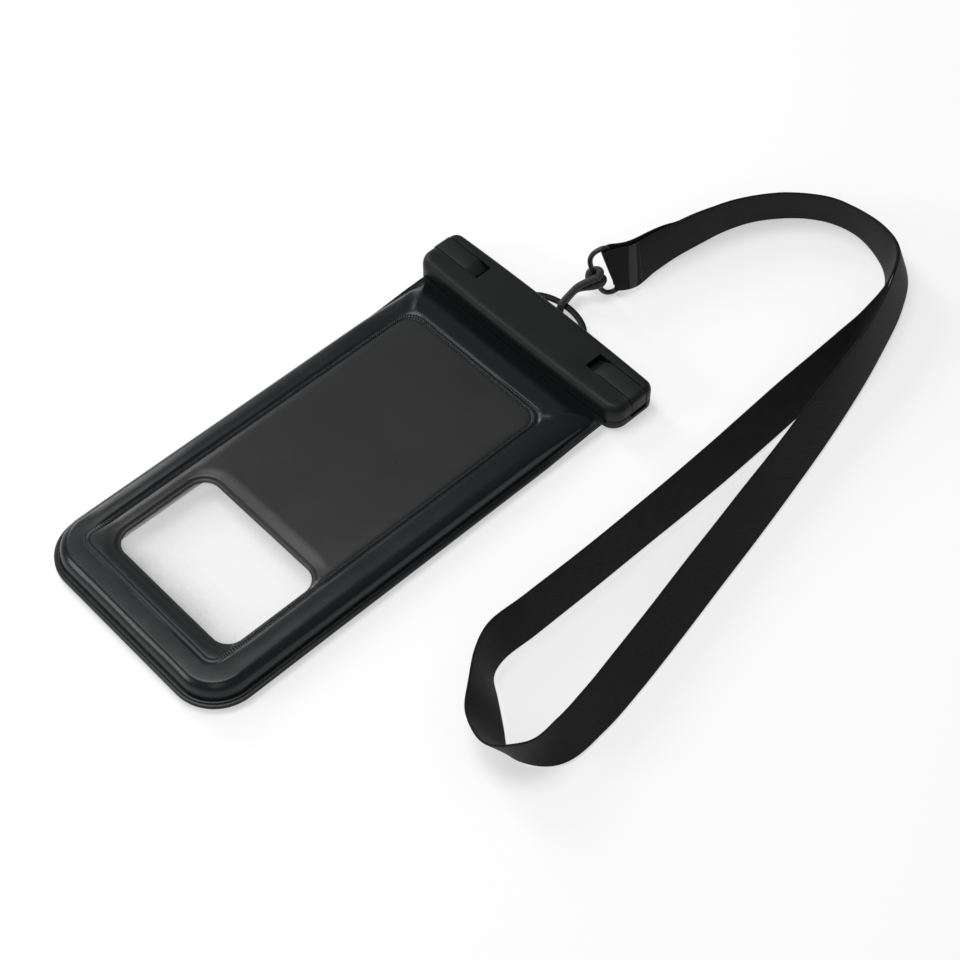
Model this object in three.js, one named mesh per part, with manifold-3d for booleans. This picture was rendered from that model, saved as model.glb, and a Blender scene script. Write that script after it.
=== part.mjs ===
// Waterproof phone pouch with a snap-lock clip and a neck strap, millimetres, +Z up.
// It lies on its clear screen side. X runs across the clip and +Y towards the clip.
// The origin is the middle of the pouch and clip on the table.
import * as THREE from 'three';
import { mergeVertices } from 'three/addons/utils/BufferGeometryUtils.js';
import Module from 'manifold-3d';

const wasm = await Module();
wasm.setup();

// Driving dimensions
const POUCH_WIDTH = 106;
const POUCH_CORNER = 19;
const MOUTH_Y = 201;
const FLANGE_WIDTH = 2.2;
const FLANGE_Z = 2.9;
const FILM = 0.8;
const GAP = 0.3;
const BORDER_TOP = 11.4;
const BORDER_WIDTH = 14;
const CLIP_LENGTH = POUCH_WIDTH + 10.4;
const CLIP_NEAR_Y = 201.7;
const CLIP_FAR_Y = 225.3;
const CLIP_TOP = 13.3;
const PARTING_Z = 5;
const LUG_REACH = 9.9;
const LUG_HALF = 18;
const LUG_Z = 3.25;
const LATCH_WIDTH = 8;
const LATCH_TIP_X = CLIP_LENGTH / 2 - 24.6;
const PIN_RADIUS = 0.8;
const STRAP_WIDTH = 20;
const STRAP_THICK = 0.9;
const TETHER_DIAMETER = 3;
const RING_WIRE = 2.2;

// Everything is drawn from the pouch's bottom edge and moved back by this much.
const CENTRE_Y = (CLIP_FAR_Y + LUG_REACH) / 2;

const BLACK_FILM = { color: 0x26292b, roughness: 0.42, metalness: 0 };
const BLACK_SHELL = { color: 0x1d2021, roughness: 0.62, metalness: 0 };
const CLEAR_FILM = { color: 0xe8eeee, roughness: 0.12, metalness: 0, transparent: true, opacity: 0.25 };
const FABRIC = { color: 0x17191a, roughness: 0.85, metalness: 0 };
const SOFT_RUBBER = { color: 0x2b2e30, roughness: 0.8, metalness: 0 };
const STEEL = { color: 0x8d9193, roughness: 0.35, metalness: 1 };
const DARK_METAL = { color: 0x202224, roughness: 0.4, metalness: 0.6 };

// Solids

function toSolid(geometry) {
  const bare = geometry.clone();
  bare.deleteAttribute('normal');
  bare.deleteAttribute('uv');
  const merged = mergeVertices(bare, 1e-4);
  const mesh = new wasm.Mesh({
    numProp: 3,
    vertProperties: Float32Array.from(merged.attributes.position.array),
    triVerts: Uint32Array.from(merged.index.array),
  });
  mesh.merge();
  return new wasm.Manifold(mesh);
}

function toGeometry(solid) {
  const mesh = solid.getMesh();
  const geometry = new THREE.BufferGeometry();
  const positions = new THREE.BufferAttribute(Float32Array.from(mesh.vertProperties), 3);
  geometry.setAttribute('position', positions);
  geometry.setIndex(new THREE.BufferAttribute(Uint32Array.from(mesh.triVerts), 1));
  geometry.computeVertexNormals();
  return geometry;
}

function cut(geometry, ...tools) {
  return toGeometry(tools.reduce((solid, tool) => solid.subtract(toSolid(tool)), toSolid(geometry)));
}

function join(...geometries) {
  return toGeometry(geometries.map(toSolid).reduce((a, b) => a.add(b)));
}

function block(x0, x1, y0, y1, z0, z1) {
  const box = new THREE.BoxGeometry(x1 - x0, y1 - y0, z1 - z0);
  return box.translate((x0 + x1) / 2, (y0 + y1) / 2, (z0 + z1) / 2);
}

function rodAlongY(x, z, radius, y0, y1, segments = 24) {
  const rod = new THREE.CylinderGeometry(radius, radius, y1 - y0, segments);
  return rod.translate(x, (y0 + y1) / 2, z);
}

// A plate from a plan outline, from z0 up to z1, with rounded upper or lower edges.
function plate(shape, z0, z1, { top = 0, bottom = 0, size = Math.max(top, bottom) } = {}) {
  if (!top && !bottom) {
    return new THREE.ExtrudeGeometry(shape, { depth: z1 - z0, bevelEnabled: false, curveSegments: 10 })
      .translate(0, 0, z0);
  }
  const bevel = Math.max(top, bottom);
  const extruded = new THREE.ExtrudeGeometry(shape, {
    depth: z1 - z0,
    bevelEnabled: true,
    bevelThickness: bevel,
    bevelSize: size,
    bevelOffset: -size,
    bevelSegments: 4,
    curveSegments: 10,
  });
  extruded.translate(0, 0, top ? z0 - bevel : z0 + bevel);
  const far = 200;
  return top
    ? cut(extruded, block(-far, far, -far, 2 * far, z0 - far, z0))
    : cut(extruded, block(-far, far, -far, 2 * far, z1, z1 + far));
}

// A rectangle with its own radius at the near (low Y) and far (high Y) corners.
function roundedShape(x0, x1, y0, y1, nearRadius, farRadius = nearRadius) {
  const shape = new THREE.Shape();
  shape.moveTo(x0 + nearRadius, y0);
  shape.lineTo(x1 - nearRadius, y0);
  shape.absarc(x1 - nearRadius, y0 + nearRadius, nearRadius, -Math.PI / 2, 0, false);
  shape.lineTo(x1, y1 - farRadius);
  shape.absarc(x1 - farRadius, y1 - farRadius, farRadius, 0, Math.PI / 2, false);
  shape.lineTo(x0 + farRadius, y1);
  shape.absarc(x0 + farRadius, y1 - farRadius, farRadius, Math.PI / 2, Math.PI, false);
  shape.lineTo(x0, y0 + nearRadius);
  shape.absarc(x0 + nearRadius, y0 + nearRadius, nearRadius, Math.PI, Math.PI * 1.5, false);
  return shape;
}

// Lofted films: each ring is a rounded rectangle, set in by `side` on three sides and
// by `mouth` at the clip. Its height goes from `z` to `mouthZ` over the last stretch.

const MOUTH_BLEND = 34;
const TONGUE_END = 214;
const CORNER_STEPS = 9;

function ringPoints({ side, mouth, z, mouthZ }) {
  const half = POUCH_WIDTH / 2 - side;
  const near = side;
  const far = TONGUE_END - mouth;
  const nearRadius = Math.max(POUCH_CORNER - side, 2.5);
  const farRadius = Math.min(0.4 + mouth * 0.3, 7);
  const corners = [
    [half - nearRadius, near + nearRadius, nearRadius, -90],
    [half - farRadius, far - farRadius, farRadius, 0],
    [-half + farRadius, far - farRadius, farRadius, 90],
    [-half + nearRadius, near + nearRadius, nearRadius, 180],
  ];
  const outline = [];
  for (const [cx, cy, radius, start] of corners) {
    for (let i = 0; i <= CORNER_STEPS; i += 1) {
      const angle = THREE.MathUtils.degToRad(start + (90 * i) / CORNER_STEPS);
      outline.push([cx + radius * Math.cos(angle), cy + radius * Math.sin(angle)]);
    }
    if (start === -90 || start === 90) {
      // Extra points along the long sides let the height blend towards the mouth.
      const [x, y] = outline[outline.length - 1];
      const target = start === -90 ? far - farRadius : near + nearRadius;
      for (const share of start === -90 ? [0.5, 0.78, 0.86, 0.92, 0.96] : [0.04, 0.08, 0.14, 0.22, 0.5]) {
        outline.push([x, y + (target - y) * share]);
      }
    }
  }
  return outline.map(([x, y]) => {
    const end = Math.min(far - 2, MOUTH_Y - 1.5);
    const blend = THREE.MathUtils.smoothstep(y, end - MOUTH_BLEND, end);
    return new THREE.Vector3(x, y, THREE.MathUtils.lerp(z, mouthZ, blend));
  });
}

function loftRings(rings, closed = false) {
  const loops = rings.map(ringPoints);
  const count = loops[0].length;
  const positions = loops.flat().flatMap((p) => [p.x, p.y, p.z]);
  const index = [];
  for (let r = 0; r + (closed ? 0 : 1) < loops.length; r += 1) {
    const next = (r + 1) % loops.length;
    for (let i = 0; i < count; i += 1) {
      const j = (i + 1) % count;
      const [a, b, c, d] = [r * count + i, r * count + j, next * count + i, next * count + j];
      index.push(a, b, c, b, d, c);
    }
  }
  const cap = (ringIndex, flip) => {
    const contour = loops[ringIndex].map((p) => new THREE.Vector2(p.x, p.y));
    for (const [a, b, c] of THREE.ShapeUtils.triangulateShape(contour, [])) {
      const base = ringIndex * count;
      index.push(...(flip ? [base + c, base + b, base + a] : [base + a, base + b, base + c]));
    }
  };
  if (!closed) {
    cap(0, true);
    cap(loops.length - 1, false);
  }
  const geometry = new THREE.BufferGeometry();
  geometry.setAttribute('position', new THREE.Float32BufferAttribute(positions, 3));
  geometry.setIndex(index);
  return geometry;
}

const ring = (side, mouth, z, mouthZ) => ({ side, mouth, z, mouthZ });

// Height of the puffy border and the panel inside the double weld line.
const BACK_TONGUE_Z = 5.5;
const BACK_TOP = [
  ring(0, 0, FLANGE_Z + FILM, BACK_TONGUE_Z),
  ring(FLANGE_WIDTH, 12.5, FLANGE_Z + FILM, BACK_TONGUE_Z),
  ring(2.5, 15, 6.4, 6.1),
  ring(3.4, 18, 8.8, 7.4),
  ring(4.9, 21, 10.4, 9),
  ring(7, 24, 11.2, 10.3),
  ring(10, 28, BORDER_TOP, 11),
  ring(13.6, 31.5, 11.2, 11.1),
  ring(14.4, 32.4, 10.5, 10.5),
  ring(15.2, 33.3, 11, 11),
  ring(16, 34.2, 10.5, 10.5),
  ring(17.2, 35.6, 11, 11),
  ring(26, 44, 11.3, 11.3),
];
const BACK_UNDER = [
  ring(26, 44, 10.5, 10.5),
  ring(17.2, 35.6, 9.7, 9.7),
  ring(13.6, 31.5, 9.7, 9.7),
  ring(10, 28, BORDER_TOP - FILM, 10.2),
  ring(7.4, 24, 10.3, 9.5),
  ring(5.6, 21, 9.5, 8.2),
  ring(4.2, 18, 8, 6.6),
  ring(3.3, 15, 5.6, 5.3),
  ring(FLANGE_WIDTH + 0.6, 12.9, FLANGE_Z, BACK_TONGUE_Z - FILM),
  ring(0, 0, FLANGE_Z, BACK_TONGUE_Z - FILM),
];
const BACK_PROFILE = [...BACK_UNDER, ...BACK_TOP];

// Camera window in the lower part of the back
const WINDOW_HALF = POUCH_WIDTH / 2 - 17;
const WINDOW_Y0 = 22;
const WINDOW_Y1 = 68;
const WINDOW_CORNER = 7.5;
const WINDOW_FILM_TOP = 9.4;

// The front is a black frame with its own mouth tongue, round a clear screen.
const FRONT_TONGUE_Z = 3.7;
const FRONT_FILM = 0.5;
const SCREEN_MARGIN = 17;
const FRONT_FRAME = [
  ring(SCREEN_MARGIN, 40, 0, 0),
  ring(5.6, 26, 0, 0),
  ring(4.2, 20, 0.5, 1.8),
  ring(FLANGE_WIDTH + 0.2, 13.5, 1.9, FRONT_TONGUE_Z),
  ring(0, 0, 1.9, FRONT_TONGUE_Z),
  ring(0, 0, 1.9 + FRONT_FILM, FRONT_TONGUE_Z + FRONT_FILM),
  ring(FLANGE_WIDTH + 0.6, 12.9, 1.9 + FRONT_FILM, FRONT_TONGUE_Z + FRONT_FILM),
  ring(4.4, 20, 1.5, 2.8),
  ring(6.2, 27, 0.9, 0.9),
  ring(SCREEN_MARGIN, 40, 0.9, 0.9),
];

// Foam cushion inside the puffy border, on three sides
const CUSHION_END_Y = 166;
const CUSHION = [
  ring(16.4, 30, 2.3, 2.3),
  ring(6.4, 24, 2.3, 2.3),
  ring(4.3, 21, 3.6, 3.6),
  ring(4.3, 21, 5.4, 5.4),
  ring(5.2, 22, 7.6, 7.6),
  ring(6.5, 23, 8.8, 8.8),
  ring(8.2, 24, 9.7, 9.7),
  ring(10, 25, 9.9, 9.9),
  ring(12.8, 26, 9.2, 9.2),
  ring(13.4, 28, 8.2, 8.2),
  ring(16.4, 30, 8.2, 8.2),
];

function buildBackSheet() {
  const opening = roundedShape(-WINDOW_HALF, WINDOW_HALF, WINDOW_Y0, WINDOW_Y1, WINDOW_CORNER);
  return cut(loftRings(BACK_PROFILE), plate(opening, 8, 14));
}

function buildCushion() {
  const half = POUCH_WIDTH / 2;
  return cut(loftRings(CUSHION, true), block(-half, half, CUSHION_END_Y, TONGUE_END, 0, 20));
}

function buildWindowFilm() {
  const lap = 3;
  const outline = roundedShape(
    -WINDOW_HALF - lap,
    WINDOW_HALF + lap,
    WINDOW_Y0 - lap,
    WINDOW_Y1 + lap,
    WINDOW_CORNER + lap,
  );
  return plate(outline, WINDOW_FILM_TOP - FILM, WINDOW_FILM_TOP);
}

function buildScreen() {
  const lap = 4.5;
  const half = POUCH_WIDTH / 2 - SCREEN_MARGIN + lap;
  return plate(roundedShape(-half, half, SCREEN_MARGIN - lap, TONGUE_END - 30, 8, 5), 1.2, 1.2 + FILM);
}

// Clip

const CLIP_HALF = CLIP_LENGTH / 2;
const CLIP_BOW = 0.9;
const TONGUE_HALF = POUCH_WIDTH / 2 + 0.4;
const TONGUE_POCKET_Y = TONGUE_END + 1;
const SEAL_Y = CLIP_NEAR_Y + 4.8;
const SEAL_WIDTH = 2;
const SEAL_HALF = POUCH_WIDTH / 2 - 2.4;
const SEAL_TOP = 7.4;
const TONGUE_TOP = 5.8;
const LATCH_Y0 = CLIP_NEAR_Y + 10.2;
const LATCH_Y1 = LATCH_Y0 + LATCH_WIDTH;
const LATCH_FLOOR = 9.8;
const PIN_X = CLIP_HALF - 2.6;
const PIN_Z = 6.2;
const EAR_WIDTH = 2.3;
const EAR_RADIUS = 1.5;
const BARREL_RADIUS = 2.6;
const FINGER_NOTCH = 1.6;

// The clip's plan: both long edges bow out a little.
function clipShape(nearRadius, farRadius) {
  const shape = new THREE.Shape();
  shape.moveTo(-CLIP_HALF + nearRadius, CLIP_NEAR_Y);
  shape.quadraticCurveTo(0, CLIP_NEAR_Y - 2 * CLIP_BOW, CLIP_HALF - nearRadius, CLIP_NEAR_Y);
  shape.absarc(CLIP_HALF - nearRadius, CLIP_NEAR_Y + nearRadius, nearRadius, -Math.PI / 2, 0, false);
  shape.lineTo(CLIP_HALF, CLIP_FAR_Y - farRadius);
  shape.absarc(CLIP_HALF - farRadius, CLIP_FAR_Y - farRadius, farRadius, 0, Math.PI / 2, false);
  shape.quadraticCurveTo(0, CLIP_FAR_Y + 2 * CLIP_BOW, -CLIP_HALF + farRadius, CLIP_FAR_Y);
  shape.absarc(-CLIP_HALF + farRadius, CLIP_FAR_Y - farRadius, farRadius, Math.PI / 2, Math.PI, false);
  shape.lineTo(-CLIP_HALF, CLIP_NEAR_Y + nearRadius);
  shape.absarc(-CLIP_HALF + nearRadius, CLIP_NEAR_Y + nearRadius, nearRadius, Math.PI, Math.PI * 1.5, false);
  return shape;
}

const onBothSides = (make) => [1, -1].flatMap((side) => make(side));

// A block given for the right end, mirrored to the left when side is -1.
function sideBlock(side, x0, x1, y0, y1, z0, z1) {
  return side > 0 ? block(x0, x1, y0, y1, z0, z1) : block(-x1, -x0, y0, y1, z0, z1);
}

function buildLug() {
  const bar = 2.6;
  const root = CLIP_FAR_Y - 1.6;
  const reach = LUG_REACH + 1.6;
  const shape = new THREE.Shape();
  shape.moveTo(-LUG_HALF, root);
  shape.absellipse(0, root, LUG_HALF, reach, Math.PI, 0, true);
  shape.lineTo(-LUG_HALF, root);
  const slot = new THREE.Path();
  slot.absellipse(0, root + 1, LUG_HALF - bar, reach - bar - 1, 0, Math.PI, false);
  slot.lineTo(LUG_HALF - bar, root + 1);
  shape.holes.push(slot);
  return plate(shape, LUG_Z, PARTING_Z);
}

function buildLowerJaw() {
  const body = plate(clipShape(7, 4.5), 0, PARTING_Z, { bottom: 1 });
  const pocket = block(-TONGUE_HALF, TONGUE_HALF, CLIP_NEAR_Y - 4, TONGUE_POCKET_Y, 3.4, 8);
  const reliefs = onBothSides((side) => [
    sideBlock(side, PIN_X - 3, CLIP_HALF + 2, LATCH_Y0 - GAP, LATCH_Y1 + GAP, 3.2, 8),
  ]);
  const ears = onBothSides((side) =>
    [LATCH_Y0 - GAP - EAR_WIDTH - 0.2, LATCH_Y1 + GAP + 0.2].flatMap((y) => [
      sideBlock(side, PIN_X - EAR_RADIUS, PIN_X + EAR_RADIUS, y, y + EAR_WIDTH, PARTING_Z - 1, PIN_Z),
      rodAlongY(side * PIN_X, PIN_Z, EAR_RADIUS, y, y + EAR_WIDTH),
    ]),
  );
  const holes = onBothSides((side) => [
    rodAlongY(side * PIN_X, PIN_Z, PIN_RADIUS + 0.15, LATCH_Y0 - 4, LATCH_Y1 + 4),
  ]);
  return cut(join(cut(join(body, buildLug()), pocket, ...reliefs), ...ears), ...holes);
}

function buildUpperJaw() {
  const base = PARTING_Z + GAP;
  const body = plate(clipShape(7, 4.5), base, CLIP_TOP, { top: 2.6, size: 2.2 });
  const pocket = block(-TONGUE_HALF, TONGUE_HALF, CLIP_NEAR_Y - 4, TONGUE_POCKET_Y, base - 2, TONGUE_TOP);
  const sealGroove = block(
    -SEAL_HALF - GAP,
    SEAL_HALF + GAP,
    SEAL_Y - GAP,
    SEAL_Y + SEAL_WIDTH + GAP,
    base - 2,
    SEAL_TOP + GAP,
  );
  const cuts = onBothSides((side) => [
    sideBlock(
      side,
      LATCH_TIP_X - FINGER_NOTCH,
      CLIP_HALF + 2,
      LATCH_Y0 - GAP,
      LATCH_Y1 + GAP,
      LATCH_FLOOR,
      CLIP_TOP + 1,
    ),
    sideBlock(side, PIN_X - 3, CLIP_HALF + 2, LATCH_Y0 - GAP, LATCH_Y1 + GAP, base - 1, LATCH_FLOOR + 1),
    sideBlock(
      side,
      PIN_X - EAR_RADIUS - GAP,
      PIN_X + EAR_RADIUS + GAP,
      LATCH_Y0 - EAR_WIDTH - 3 * GAP,
      LATCH_Y1 + EAR_WIDTH + 3 * GAP,
      base - 1,
      PIN_Z + EAR_RADIUS + GAP,
    ),
  ]);
  return cut(body, pocket, sealGroove, ...cuts);
}

// Lever: a flat top with a scooped tip, wrapped over the clip's end to its pin.
function buildLatch(side) {
  const top = CLIP_TOP - 0.1;
  const under = LATCH_FLOOR + GAP;
  const profile = new THREE.Shape();
  profile.moveTo(LATCH_TIP_X + 0.6, under);
  profile.lineTo(LATCH_TIP_X + 0.6, under + 0.7);
  profile.quadraticCurveTo(LATCH_TIP_X + 3.4, top - 1.2, LATCH_TIP_X + 5.8, top);
  profile.lineTo(CLIP_HALF - 2.4, top);
  profile.absarc(CLIP_HALF - 2.4, top - 2.4, 2.4, Math.PI / 2, 0, true);
  profile.lineTo(CLIP_HALF, PIN_Z);
  profile.absarc(PIN_X, PIN_Z, BARREL_RADIUS, 0, -Math.PI, true);
  profile.lineTo(PIN_X - BARREL_RADIUS, under);
  profile.lineTo(LATCH_TIP_X + 0.6, under);
  const hole = new THREE.Path();
  hole.absarc(PIN_X, PIN_Z, PIN_RADIUS + 0.15, 0, Math.PI * 2, false);
  profile.holes.push(hole);
  const lever = new THREE.ExtrudeGeometry(profile, {
    depth: LATCH_WIDTH,
    bevelEnabled: false,
    curveSegments: 14,
  });
  lever.rotateX(Math.PI / 2);
  lever.translate(0, LATCH_Y1, 0);
  if (side < 0) {
    lever.rotateZ(Math.PI);
    lever.translate(0, LATCH_Y0 + LATCH_Y1, 0);
  }
  return lever;
}

const buildPin = (side) =>
  rodAlongY(side * PIN_X, PIN_Z, PIN_RADIUS, LATCH_Y0 - GAP - EAR_WIDTH, LATCH_Y1 + GAP + EAR_WIDTH, 20);

const buildSeal = () => block(-SEAL_HALF, SEAL_HALF, SEAL_Y, SEAL_Y + SEAL_WIDTH, TONGUE_TOP, SEAL_TOP);

// Strap hardware. These places are in the part's own frame.

const D_RING_CENTRE = new THREE.Vector3(2.2, 140.5, 12.7);
const D_RING_ALONG = new THREE.Vector3(-0.35, -0.145, 0.926).normalize();
const D_RING_OUT = new THREE.Vector3(-0.348, -0.897, -0.272).normalize();
const D_RING_FACE = new THREE.Vector3().crossVectors(D_RING_ALONG, D_RING_OUT).normalize();
const D_RING_HALF = 11.3;
const D_RING_DEPTH = 8.8;

// A place given along the ring's bar, out from it, and square to the ring.
function byRing(along, out, face = 0) {
  return D_RING_CENTRE.clone()
    .addScaledVector(D_RING_ALONG, along)
    .addScaledVector(D_RING_OUT, out)
    .addScaledVector(D_RING_FACE, face);
}

// A round wire along a closed curve.
function closedTube(points, radius, steps, sides = 12) {
  const path = new THREE.CatmullRomCurve3(points, true, 'centripetal');
  const frames = path.computeFrenetFrames(steps, true);
  const positions = [];
  const index = [];
  for (let i = 0; i < steps; i += 1) {
    const centre = path.getPointAt(i / steps);
    for (let k = 0; k < sides; k += 1) {
      const turn = (k / sides) * Math.PI * 2;
      const p = centre.clone();
      p.addScaledVector(frames.normals[i], radius * Math.cos(turn));
      p.addScaledVector(frames.binormals[i], radius * Math.sin(turn));
      positions.push(p.x, p.y, p.z);
      const [a, b] = [i * sides + k, i * sides + ((k + 1) % sides)];
      const ahead = ((i + 1) % steps) * sides - i * sides;
      index.push(a, b, a + ahead, b, b + ahead, a + ahead);
    }
  }
  const geometry = new THREE.BufferGeometry();
  geometry.setAttribute('position', new THREE.Float32BufferAttribute(positions, 3));
  geometry.setIndex(index);
  return geometry;
}

function buildRing() {
  const bar = D_RING_HALF - 0.9;
  const points = [byRing(-bar, 0), byRing(-bar / 2, 0), byRing(0, 0), byRing(bar / 2, 0), byRing(bar, 0)];
  for (let angle = 12; angle <= 168; angle += 12) {
    // A full, squared arch, as a superellipse.
    const turn = THREE.MathUtils.degToRad(angle);
    const [c, s] = [Math.cos(turn), Math.sin(turn)];
    points.push(byRing(D_RING_HALF * Math.sign(c) * Math.sqrt(Math.abs(c)), D_RING_DEPTH * Math.sqrt(s)));
  }
  return closedTube(points, RING_WIRE / 2, 80);
}

// The tether is one cord: round the lug's bar, and hitched round the ring.
const HITCH = RING_WIRE / 2 + TETHER_DIAMETER / 2 + 0.35;
const HITCH_AT = -0.8;
const hitchPoint = (along, degrees) => {
  const turn = THREE.MathUtils.degToRad(degrees);
  return byRing(HITCH_AT + along, D_RING_DEPTH + HITCH * Math.cos(turn), HITCH * Math.sin(turn));
};
const TETHER_ROUTE = [
  new THREE.Vector3(-1.2, 113.1, 4.3),
  new THREE.Vector3(-1.7, 113.9, 6.3),
  new THREE.Vector3(-2.2, 116.3, 6.9),
  new THREE.Vector3(-2.8, 120.5, 7.3),
  new THREE.Vector3(-2.8, 125, 8.4),
  hitchPoint(1.9, 60),
  hitchPoint(2, 110),
  hitchPoint(2, 160),
  hitchPoint(2, 205),
  hitchPoint(2, 250),
  hitchPoint(1.8, 292),
  hitchPoint(0, 325),
  hitchPoint(-1.8, 292),
  hitchPoint(-2, 250),
  hitchPoint(-2, 205),
  hitchPoint(-2, 160),
  hitchPoint(-2, 110),
  hitchPoint(-1.9, 60),
  new THREE.Vector3(-4, 125.6, 5.2),
  new THREE.Vector3(-4.6, 122, 3.4),
  new THREE.Vector3(-4.5, 118.8, 1.75),
  new THREE.Vector3(-4, 116.3, 1.6),
  new THREE.Vector3(-2.7, 113.9, 1.8),
];

// Neck strap: centre of the band and its lean from upright, to the left of the route.
// It stands on its edge, from the fold at the ring round the whole loop and back.
const STRAP_ROUTE = [
  [6.9, 146.9, 11.6, 18.5],
  [7.1, 159, 10.8, 11],
  [8.5, 172.2, 10.6, 4],
  [10.5, 184.3, 10.6, 1],
  [13.6, 197.4, 10.6, -4],
  [18.7, 209.6, 10.5, -9],
  [25.4, 219.4, 10.5, -11],
  [33.5, 227.6, 10.4, -13],
  [42.9, 233.3, 10.4, -13],
  [54, 235.6, 10.4, -12],
  [67, 233.9, 10.6, -6],
  [78.5, 228.6, 10.6, -3],
  [88, 213.6, 10.5, -8],
  [94.3, 192.6, 10.4, -13],
  [96.4, 177.2, 10, -20],
  [97.5, 159.1, 9.7, -25],
  [98.2, 141.1, 9.6, -27],
  [99.4, 115.1, 9.6, -26],
  [100.4, 90.1, 9.8, -24],
  [100.9, 66, 10, -21.5],
  [101.1, 42, 10, -20],
  [101.1, 19, 10, -20],
  [100.8, -4, 10, -20.5],
  [100.6, -21.1, 10, -20.5],
  [104.6, -30.6, 10.1, -19.7],
  [112.2, -38.3, 9.1, -32.1],
  [120.6, -45.7, 7.9, -43.5],
  [131.9, -51, 9.2, -31],
  [141.2, -45.7, 10.5, -8.4],
  [146.4, -32.9, 9.9, 22.9],
  [145.3, -14.1, 9.1, 32.5],
  [141.9, 6, 8.7, 36.8],
  [138, 26, 8.5, 37.9],
  [133.5, 47.9, 8.5, 38.7],
  [129, 70, 8.5, 38.5],
  [124.5, 92.1, 8.5, 38.4],
  [119.6, 116.1, 8.8, 35.6],
  [114.2, 140, 8.9, 34],
  [108.7, 164.2, 9.5, 28],
  [101.8, 190.2, 10, 20],
  [92.3, 215.7, 10.4, 14],
  [82.5, 231.6, 10.4, 14],
  [69, 239.6, 9.6, 27],
  [54, 241.2, 9.1, 32],
  [40, 238.4, 8.9, 34],
  [29, 231.6, 8.9, 34],
  [19, 222, 8.9, 34],
  [13.4, 210.6, 9, 33],
  [7.2, 198.1, 9.2, 31],
  [3.7, 184.7, 9.5, 28],
  [2.4, 172, 9.9, 22],
  [4.6, 159.8, 10.8, -7],
  [4.3, 148.6, 11.6, -18.5],
];

// Rows of the whole loop, each a centre and the direction across the ribbon.
function strapRows() {
  const round = RING_WIRE / 2 + 2 * GAP + STRAP_THICK / 2;
  const fold = [-80, -50, -20, 20, 50, 80].map((degrees) => {
    const turn = THREE.MathUtils.degToRad(degrees);
    return { centre: byRing(0, round * Math.cos(turn), round * Math.sin(turn)), across: D_RING_ALONG };
  });
  const route = STRAP_ROUTE.map(([x, y, z, lean], i) => {
    const before = STRAP_ROUTE[Math.max(i - 1, 0)];
    const after = STRAP_ROUTE[Math.min(i + 1, STRAP_ROUTE.length - 1)];
    const heading = new THREE.Vector2(after[0] - before[0], after[1] - before[1]).normalize();
    const angle = THREE.MathUtils.degToRad(lean);
    const across = new THREE.Vector3(-heading.y, heading.x, 0);
    across.multiplyScalar(Math.sin(angle)).setZ(Math.cos(angle));
    return { centre: new THREE.Vector3(x, y, z), across };
  });
  return [...fold, ...route];
}

function buildStrap() {
  const rows = strapRows();
  const path = new THREE.CatmullRomCurve3(rows.map((row) => row.centre), true, 'centripetal');
  const perRow = 3;
  const steps = rows.length * perRow;
  const positions = [];
  const index = [];
  for (let i = 0; i < steps; i += 1) {
    const row = Math.floor(i / perRow);
    const mix = THREE.MathUtils.smoothstep((i % perRow) / perRow, 0, 1);
    const tangent = path.getTangent(i / steps);
    const across = rows[row].across.clone().lerp(rows[(row + 1) % rows.length].across, mix);
    across.addScaledVector(tangent, -across.dot(tangent)).normalize();
    const face = new THREE.Vector3().crossVectors(tangent, across);
    const centre = path.getPoint(i / steps);
    for (const [u, v] of [[-1, -1], [1, -1], [1, 1], [-1, 1]]) {
      const corner = centre.clone();
      corner.addScaledVector(across, (u * STRAP_WIDTH) / 2);
      corner.addScaledVector(face, (v * STRAP_THICK) / 2);
      positions.push(corner.x, corner.y, corner.z);
    }
    const ahead = i + 1 < steps ? 4 : -4 * i;
    for (let k = 0; k < 4; k += 1) {
      const [a, b] = [i * 4 + k, i * 4 + ((k + 1) % 4)];
      index.push(a, b, a + ahead, b, b + ahead, a + ahead);
    }
  }
  const geometry = new THREE.BufferGeometry();
  geometry.setAttribute('position', new THREE.Float32BufferAttribute(positions, 3));
  geometry.setIndex(index);
  return geometry;
}

// Assembly

// Turns a closed mesh outward if its signed volume is negative.
function faceOutward(geometry) {
  const flat = geometry.index ? geometry.toNonIndexed() : geometry;
  const p = flat.attributes.position;
  const [a, b, c] = [0, 1, 2].map(() => new THREE.Vector3());
  let volume = 0;
  for (let i = 0; i < p.count; i += 3) {
    volume += a.fromBufferAttribute(p, i).dot(
      b.fromBufferAttribute(p, i + 1).cross(c.fromBufferAttribute(p, i + 2)),
    );
  }
  if (volume < 0) {
    for (let i = 0; i < p.count; i += 3) {
      a.fromBufferAttribute(p, i + 1);
      b.fromBufferAttribute(p, i + 2);
      p.setXYZ(i + 1, b.x, b.y, b.z);
      p.setXYZ(i + 2, a.x, a.y, a.z);
    }
  }
  flat.computeVertexNormals();
  return flat;
}

const pouch = new THREE.Group();
pouch.position.set(0, -CENTRE_Y, 0);
const lanyard = new THREE.Group();
const root = new THREE.Group();
root.add(pouch, lanyard);

function add(group, name, geometry, material) {
  const mesh = new THREE.Mesh(faceOutward(geometry), new THREE.MeshStandardMaterial(material));
  mesh.name = name;
  group.add(mesh);
}

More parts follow.
